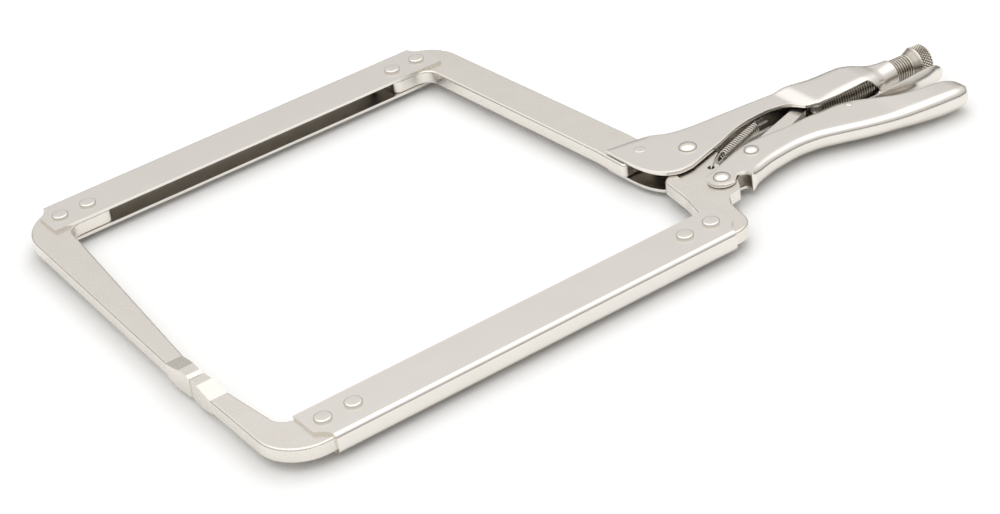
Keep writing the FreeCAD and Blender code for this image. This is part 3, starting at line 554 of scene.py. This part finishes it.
def turned(name, profile, centre, axis, steps=64, sharpAngle=35):
    along = Vector(axis).normalized()
    side = along.orthogonal().normalized()
    other = along.cross(side)
    points = []
    for distance, radius in profile:
        for j in range(steps):
            turn = 2 * math.pi * j / steps
            reach = side * math.cos(turn) + other * math.sin(turn)
            points.append(Vector(centre) + along * distance + reach * max(radius, 0.001))
    return meshPiece(name, points, ringFaces(len(profile), steps), sharpAngle)


rivetLooks = {
    "jaw_pivot_rivet": {"grip": handle["outer"], "shank": 3.0, "rim": 0.25, "dome": 1.0},
    "lever_pivot_rivet": {"grip": lever["outer"], "shank": 3.0, "rim": 0.25, "dome": 1.0},
    "link_rivet": {"grip": lever["outer"], "shank": 3.0, "rim": 0.25, "dome": 1.0},
    "fixed_front_rivets": {"grip": 5.6, "shank": 2.9, "rim": 0.8, "dome": 0.24},
    "fixed_rear_rivets": {"grip": 5.6, "shank": 2.9, "rim": 0.8, "dome": 0.24},
    "movable_front_rivets": {"grip": 5.6, "shank": 2.9, "rim": 0.8, "dome": 0.24},
    "movable_rear_rivets": {"grip": 5.6, "shank": 2.9, "rim": 0.8, "dome": 0.24},
    "bar_lock_rivet": {"grip": handle["outer"], "shank": 2.9, "rim": 0.05, "dome": 0.3},
    "release_pin": {"grip": lever["outer"], "shank": 1.6, "rim": 0.15, "dome": 0.6},
}


def rivetProfile(radius, top, look):
    grip = look["grip"]
    reach = radius * look["dome"]  # how far in from the rim the head keeps curving
    rise = top - grip - look["rim"]
    head = [(grip, look["shank"]), (grip, radius)]
    for angle in spread(0, math.pi / 2, 14):
        head.append((grip + look["rim"] + rise * math.sin(angle), radius - reach + reach * math.cos(angle)))
    head.append((top, 0))
    return [(-d, r) for d, r in reversed(head)] + head


def rivetPiece(node, look):
    low, high = (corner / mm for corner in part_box(node))
    radius = (high.y - low.y) / 2
    centres = [low.x + radius]
    if high.x - low.x > 3 * radius:
        centres.append(high.x - radius)
    heads = []
    for i, x in enumerate(centres):
        profile = rivetProfile(radius, high.z, look)
        heads.append(turned("%s_%d" % (node, i), profile, (x, (low.y + high.y) / 2, 0), (0, 0, 1), 48))
    piece = joined(*heads)
    piece.name = node + "_domed"
    smoothShade(piece, 40)
    return standFor(piece, node)


for nodeName, rivetLook in rivetLooks.items():
    rivetPiece(nodeName, rivetLook)
print("rivets:", len(rivetLooks))


# adjusting screw: cut thread, back cone and diamond-knurled rim

screw = {  # the thread and the knurl are cut a little coarser than on the real one, so that they show
    "start": (372.2, -16.65), "length": 67.4, "radius": 6.9, "pitch": 1.6, "depth": 0.8, "runOut": 2,
    "tip": 3.6, "tipLength": 3.6, "relief": 1.2, "steps": 96, "ringsPerPitch": 10,
    "shoulder": 7.0, "flare": 8.75, "taper": 4.4, "rim": 9.38, "end": 79.35, "chamfer": 0.75,
    "diamonds": 34, "knurlDepth": 0.75, "knurlSteps": 10, "knurlLean": 0.75, "groove": 0.6, "knurlFade": 0.35,
    "knurlRing": 0.14, "bandStep": 0.15,
}


def threadRadius(x, turn):
    phase = (x / screw["pitch"] - turn / (2 * math.pi)) % 1
    return screw["radius"] - screw["depth"] * (0.5 - 0.5 * math.cos(2 * math.pi * phase)) ** 0.8


def knurlRadius(x, turn, radius):
    across = turn * screw["diamonds"] / (2 * math.pi)
    pitch = 2 * math.pi * screw["rim"] / screw["diamonds"]
    along = x / pitch * screw["knurlLean"]
    ridges = [abs(2 * ((across + way * along) % 1) - 1) for way in (1, -1)]
    return radius - screw["knurlDepth"] * (1 - min(ridges))


def turnedGrid(name, rings, steps, centre, axis, sharpAngle):
    along = Vector(axis).normalized()
    side = Vector((0, 0, 1))
    other = along.cross(side)
    points = []
    for distance, radiusAt in rings:
        for j in range(steps):
            turn = 2 * math.pi * j / steps
            reach = side * math.cos(turn) + other * math.sin(turn)
            points.append(Vector(centre) + along * distance + reach * radiusAt(turn))
    return meshPiece(name, points, ringFaces(len(rings), steps), sharpAngle)


def screwPiece():
    axis = slideAlong["screw_advance"]
    centre = (screw["start"][0], screw["start"][1], 0)
    end = screw["length"]
    rings = [(0, lambda turn: 0.01), (0, lambda turn: screw["tip"])]
    x = screw["tipLength"]
    while x < end - screw["relief"]:
        fade = min(1, (x - screw["tipLength"]) / screw["runOut"])
        rings.append((x, lambda turn, x=x, fade=fade:
                      screw["radius"] - fade * (screw["radius"] - threadRadius(x, turn))))
        x += screw["pitch"] / screw["ringsPerPitch"]
    core = screw["radius"] - screw["depth"]
    rings += [(end - screw["relief"] + 0.3, lambda turn: core), (end, lambda turn: core)]
    shaft = turnedGrid("screw_shaft", rings, screw["steps"], centre, axis, 60)
    head = [(end - 0.6, lambda turn: core - 0.2), (end - 0.5, lambda turn: screw["shoulder"] - 0.3),
            (end - 0.2, lambda turn: screw["shoulder"])]
    for share in spread(0, 1, 7):
        radius = screw["shoulder"] + (screw["flare"] - screw["shoulder"]) * share
        head.append((end + screw["taper"] * share, lambda turn, radius=radius: radius))
    bandStart, bandEnd = end + screw["taper"] + screw["groove"], screw["end"] - screw["groove"]
    x = bandStart
    while x < bandEnd + 0.01:
        share = max(0, min(1, (x - bandStart) / screw["knurlFade"], (bandEnd - x) / screw["knurlFade"]))
        radius = screw["rim"] - screw["bandStep"] * (1 - share)
        head.append((x, lambda turn, x=x, radius=radius, share=share:
                     radius - share * (screw["rim"] - knurlRadius(x, turn, screw["rim"]))))
        x += screw["knurlRing"]
    head += [(screw["end"], lambda turn: screw["rim"] - screw["chamfer"]), (screw["end"], lambda turn: 0.01)]
    rim = turnedGrid("screw_head", head, screw["diamonds"] * screw["knurlSteps"], centre, axis, 60)
    piece = joined(shaft, rim)
    piece.name = "screw_threaded"
    return standFor(piece, "adjusting_screw")


screwPiece()
print("screw made")


# return spring: one wire, hook to hook

spring = {  # fewer, wider turns than the real one, so that they show
    "coil": 3.2, "wire": 0.47, "pitch": 1.9, "near": (309.5, -21.0), "far": (341.0, -10.2),
    "nearHook": (294.2, -30.3), "farHook": (347.0, -6.9), "hookRise": 3.4, "steps": 20, "sides": 10,
}


def tube(name, line, radius, sides):
    points = []
    tangent = (line[1] - line[0]).normalized()
    normal = tangent.orthogonal().normalized()
    for i, here in enumerate(line):
        ahead = line[min(i + 1, len(line) - 1)] - line[max(i - 1, 0)]
        ahead.normalize()
        normal = (normal - ahead * normal.dot(ahead)).normalized()
        other = ahead.cross(normal)
        for j in range(sides):
            turn = 2 * math.pi * j / sides
            points.append(here + normal * (radius * math.cos(turn)) + other * (radius * math.sin(turn)))
    faces = ringFaces(len(line), sides)
    faces.append(tuple(range(sides)))
    faces.append(tuple(range((len(line) - 1) * sides, len(line) * sides)))
    return meshPiece(name, points, faces, 60)


def springPiece():
    near, far = Vector((*spring["near"], 0)), Vector((*spring["far"], 0))
    nearHook, farHook = Vector((*spring["nearHook"], 0)), Vector((*spring["farHook"], 0))
    axis = (far - near).normalized()
    side = Vector((0, 0, 1))
    other = axis.cross(side)
    radius = spring["coil"] - spring["wire"]
    length = (far - near).length
    turns = round(length / spring["pitch"])
    coil = []
    for i in range(turns * spring["steps"] + 1):
        turn = 2 * math.pi * i / spring["steps"]
        coil.append(near + axis * (length * i / (turns * spring["steps"]))
                    + side * (radius * math.cos(turn)) + other * (radius * math.sin(turn)))
    hookRise = spring["hookRise"]
    nearEnd = [nearHook + Vector((0, 0, -hookRise - 0.6)), nearHook + Vector((0, 0, -1)),
               nearHook + Vector((0, 0, 2.4)), nearHook + Vector((0.5, 0.3, hookRise)),
               nearHook + Vector((1.6, 1.0, hookRise + 0.25)), nearHook + Vector((4, 2.4, hookRise)),
               near - axis * 2 + side * (radius + 0.1)]
    farEnd = [far + axis * 0.8 + side * (radius * 0.9), farHook - axis * 2.2 + side * 1.9,
              farHook + Vector((-0.6, -0.2, 1.5)), farHook + Vector((0, 0, 0.6)), farHook + Vector((0, 0, -1.2)),
              farHook + Vector((-0.8, -0.3, -1.9))]
    return tube("spring_coiled", nearEnd + coil + farEnd, spring["wire"], spring["sides"])


springCoil = springPiece()
standFor(springCoil, "return_spring", rides=False)
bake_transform(springCoil)
print("spring made")


# floor, light and camera

studio = {
    "floorSize": 6.0, "floor": "#EBEBEA", "floorRoughness": 0.9, "strength": 1.4,
    "key": {"at": (0.9, 0.7, 1.5), "size": 1.2, "power": 7},
    "fill": {"at": (-0.9, -0.6, 1.2), "size": 1.4, "power": 3},
    # brightness of the room from the horizon up to the zenith
    "sky": [(0.0, "#1F1C1A"), (0.12, "#3F3A36"), (0.22, "#B0AEAB"), (0.42, "#C2C1C0"), (0.60, "#C7C6C5"),
            (0.70, "#EFEFEF"), (0.82, "#FFFFFF")],
}


def makeFloor():
    half = studio["floorSize"] / 2
    level = cadBox[0].z
    mesh = bpy.data.meshes.new("floor")
    mesh.from_pydata([(-half, -half, level), (half, -half, level), (half, half, level), (-half, half, level)],
                     [], [(0, 1, 2, 3)])
    floor = bpy.data.objects.new("floor", mesh)
    bpy.context.scene.collection.objects.link(floor)
    material, tree = newMaterial("matteWhitePaper")
    shader = addNode(tree, "ShaderNodeBsdfPrincipled",
                     values={"Base Color": linearColour(studio["floor"]), "Roughness": studio["floorRoughness"]})
    addNode(tree, "ShaderNodeOutputMaterial", links={"Surface": shader.outputs["BSDF"]})
    floor.data.materials.append(material)


def makeSky():
    world = bpy.data.worlds.new("studio")
    bpy.context.scene.world = world
    world.use_nodes = True
    tree = world.node_tree
    tree.nodes.clear()
    direction = addNode(tree, "ShaderNodeTexCoord").outputs["Generated"]
    height = addNode(tree, "ShaderNodeSeparateXYZ", links={"Vector": direction}).outputs["Z"]
    ramp = addNode(tree, "ShaderNodeValToRGB", links={"Fac": height})
    stops = studio["sky"]
    for element, (position, colour) in zip(ramp.color_ramp.elements, (stops[0], stops[-1])):
        element.position = position
        element.color = linearColour(colour)
    for position, colour in stops[1:-1]:
        ramp.color_ramp.elements.new(position).color = linearColour(colour)
    back = addNode(tree, "ShaderNodeBackground", values={"Strength": studio["strength"]},
                   links={"Color": ramp.outputs["Color"]})
    addNode(tree, "ShaderNodeOutputWorld", links={"Surface": back.outputs["Background"]})


def makeLamp(name, lamp):
    data = bpy.data.lights.new(name, "AREA")
    data.size = lamp["size"]
    data.energy = lamp["power"]
    light = bpy.data.objects.new(name, data)
    bpy.context.scene.collection.objects.link(light)
    centre = (cadBox[0] + cadBox[1]) / 2
    light.visible_glossy = False  # only the room is mirrored in the plate
    light.location = centre + Vector(lamp["at"])
    light.rotation_euler = (centre - light.location).to_track_quat("-Z", "Y").to_euler()


cameraView = {"target": (173.46, -7.16, -5.6), "azimuth": -31.144, "elevation": 31.730, "roll": -8.431,
              "distance": 1293.2, "lens": 91.82}


def makeCamera():
    azimuth, elevation, roll = (math.radians(cameraView[key]) for key in ("azimuth", "elevation", "roll"))
    back = Vector((math.sin(azimuth) * math.cos(elevation), -math.cos(azimuth) * math.cos(elevation),
                   math.sin(elevation)))
    right = (-back).cross(Vector((0, 0, 1))).normalized()
    up = right.cross(-back)
    turnedRight = right * math.cos(roll) + up * math.sin(roll)
    turnedUp = up * math.cos(roll) - right * math.sin(roll)
    data = bpy.data.cameras.new("camera")
    data.lens = cameraView["lens"]
    data.sensor_width = 36
    data.clip_start, data.clip_end = 0.01, 50
    camera = bpy.data.objects.new("camera", data)
    bpy.context.scene.collection.objects.link(camera)
    place = (Vector(cameraView["target"]) + back * cameraView["distance"]) * mm
    camera.matrix_world = Matrix.Translation(place) @ Matrix((turnedRight, turnedUp, back)).transposed().to_4x4()
    bpy.context.scene.camera = camera


makeFloor()
makeSky()
makeLamp("key", studio["key"])
makeLamp("fill", studio["fill"])
makeCamera()
bpy.context.scene.view_settings.view_transform = "Standard"
print("stage set")
